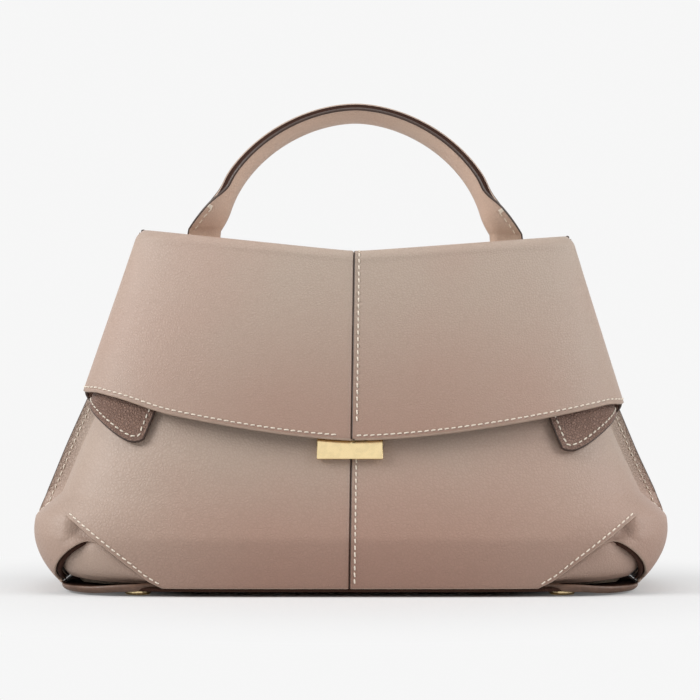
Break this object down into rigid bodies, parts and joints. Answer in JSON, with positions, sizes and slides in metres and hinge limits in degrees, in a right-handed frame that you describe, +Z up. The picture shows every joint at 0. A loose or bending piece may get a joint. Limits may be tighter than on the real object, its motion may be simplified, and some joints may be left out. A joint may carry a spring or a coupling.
{
  "type": "top handle bag",
  "caption": "Soft leather top handle bag with a lapped front flap, folded side wings, a bar clasp and an arched strap handle.",
  "frame": {"origin": "under the middle of the bag, on the surface that the feet stand on", "axes": "+X to the right of someone who looks at the front, the front faces -Y, +Z up"},
  "size_m": [0.3376, 0.1397, 0.2606],
  "materials": {
    "taupe_leather": "fine pebble grain, satin",
    "brown_lining": "grained, matt",
    "painted_edge_leather": "dark brown edge paint",
    "fibre_board": "pressed fibre",
    "gold_metal": "pale gold plate, polished",
    "plain_steel": "plain"
  },
  "bodies": {
    "carcass": {"back_panel_left": "taupe_leather", "back_panel_right": "taupe_leather", "base_board": "fibre_board", "base_panel": "painted_edge_leather", "closure_magnet": "plain_steel", "corner_gore_back_left": "taupe_leather", "corner_gore_back_right": "taupe_leather", "corner_gore_front_left": "taupe_leather", "corner_gore_front_right": "taupe_leather", "foot_back_left": "gold_metal", "foot_back_right": "gold_metal", "foot_front_left": "gold_metal", "foot_front_right": "gold_metal", "front_panel_left": "taupe_leather", "front_panel_right": "taupe_leather", "lining": "brown_lining", "mouth_facing": "taupe_leather", "rear_yoke": "taupe_leather", "side_wrap_left": "taupe_leather", "side_wrap_right": "taupe_leather", "slip_pocket": "brown_lining", "washer_back_left": "plain_steel", "washer_back_right": "plain_steel", "washer_front_left": "plain_steel", "washer_front_right": "plain_steel"},
    "flap": {"clasp_bar": "gold_metal", "clasp_rivet_left": "plain_steel", "clasp_rivet_right": "plain_steel", "flap_left": "taupe_leather", "flap_lining": "brown_lining", "flap_right": "taupe_leather", "flap_stiffener_left": "fibre_board", "flap_stiffener_right": "fibre_board", "handle_anchor_left": "plain_steel", "handle_anchor_right": "plain_steel"},
    "handle": {"handle_core": "fibre_board", "handle_lining": "brown_lining", "handle_outer": "taupe_leather"}
  },
  "joints": [
    {"name": "flap_hinge", "type": "hinge", "parent": "carcass", "child": "flap", "pos_m": [0, 0.017, 0.186], "axis": [-1, 0, 0], "range_deg": [0, 140]},
    {"name": "handle_rock", "type": "hinge", "parent": "flap", "child": "handle", "pos_m": [0, 0, 0.19428], "axis": [1, 0, 0], "range_deg": [-25, 25], "stiffness_Nm_per_rad": 0.2}
  ]
}
